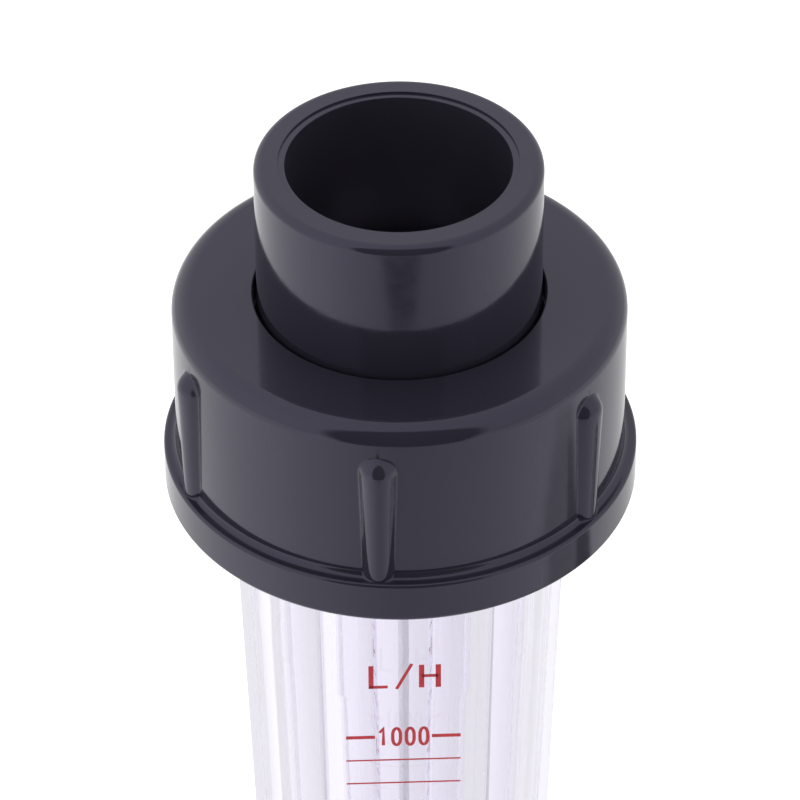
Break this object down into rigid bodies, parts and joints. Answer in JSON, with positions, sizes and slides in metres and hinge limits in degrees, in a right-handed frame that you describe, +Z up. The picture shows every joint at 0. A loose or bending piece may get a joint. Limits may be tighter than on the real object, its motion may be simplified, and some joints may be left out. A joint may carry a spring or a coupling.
{
  "type": "rotameter",
  "caption": "Plastic-tube rotameter for liquids: a clear tapered tube with a scale, a steel float on a guide rod, and a union with a glue-in pipe socket at each end.",
  "frame": {"origin": "on the tube's axis, in the plane of the lower socket's rim, on which the meter stands", "axes": "+Z up along the tube, the direction of flow; the flat side with the scale faces -Y"},
  "size_m": [0.0434, 0.0434, 0.236],
  "materials": {
    "clear_plastic": "clear, polished",
    "rod_steel": "drawn",
    "float_steel": "turned",
    "white_plastic": "satin",
    "seal_rubber": "matt",
    "dark_plastic": "semi-gloss, moulded"
  },
  "bodies": {
    "meter": {"metering_tube": "clear_plastic", "guide_rod": "rod_steel", "lower_rod_guide": "white_plastic", "upper_rod_guide": "white_plastic", "lower_rod_washer": "rod_steel", "upper_rod_washer": "rod_steel", "lower_rod_nut": "rod_steel", "upper_rod_nut": "rod_steel", "lower_stop": "seal_rubber", "upper_stop": "seal_rubber", "lower_o_ring": "seal_rubber", "upper_o_ring": "seal_rubber"},
    "float": {"float_body": "float_steel", "float_lower_bush": "white_plastic", "float_upper_bush": "white_plastic"},
    "lower_tailpiece": {"lower_socket": "dark_plastic"},
    "lower_nut": {"lower_union_nut": "dark_plastic"},
    "upper_tailpiece": {"upper_socket": "dark_plastic"},
    "upper_nut": {"upper_union_nut": "dark_plastic"}
  },
  "joints": [
    {"name": "float_travel", "type": "slide", "parent": "meter", "child": "float", "axis": [0, 0, 1], "range_m": [0, 0.1558]},
    {"name": "upper_tailpiece_lift", "type": "slide", "parent": "meter", "child": "upper_tailpiece", "axis": [0, 0, 1], "range_m": [0, 0.009]},
    {"name": "upper_nut_screw", "type": "hinge", "parent": "upper_tailpiece", "child": "upper_nut", "pos_m": [0, 0, 0.2146], "axis": [0, 0, 1], "range_deg": [0, 1080]},
    {"name": "lower_tailpiece_lift", "type": "slide", "parent": "meter", "child": "lower_tailpiece", "axis": [0, 0, -1], "range_m": [0, 0.009]},
    {"name": "lower_nut_screw", "type": "hinge", "parent": "lower_tailpiece", "child": "lower_nut", "pos_m": [0, 0, 0.0214], "axis": [0, 0, -1], "range_deg": [0, 1080]}
  ],
  "couplings": [
    {"joint": "upper_tailpiece_lift", "follows": "upper_nut_screw", "m_per_rad": 0.00047746},
    {"joint": "lower_tailpiece_lift", "follows": "lower_nut_screw", "m_per_rad": 0.00047746}
  ]
}
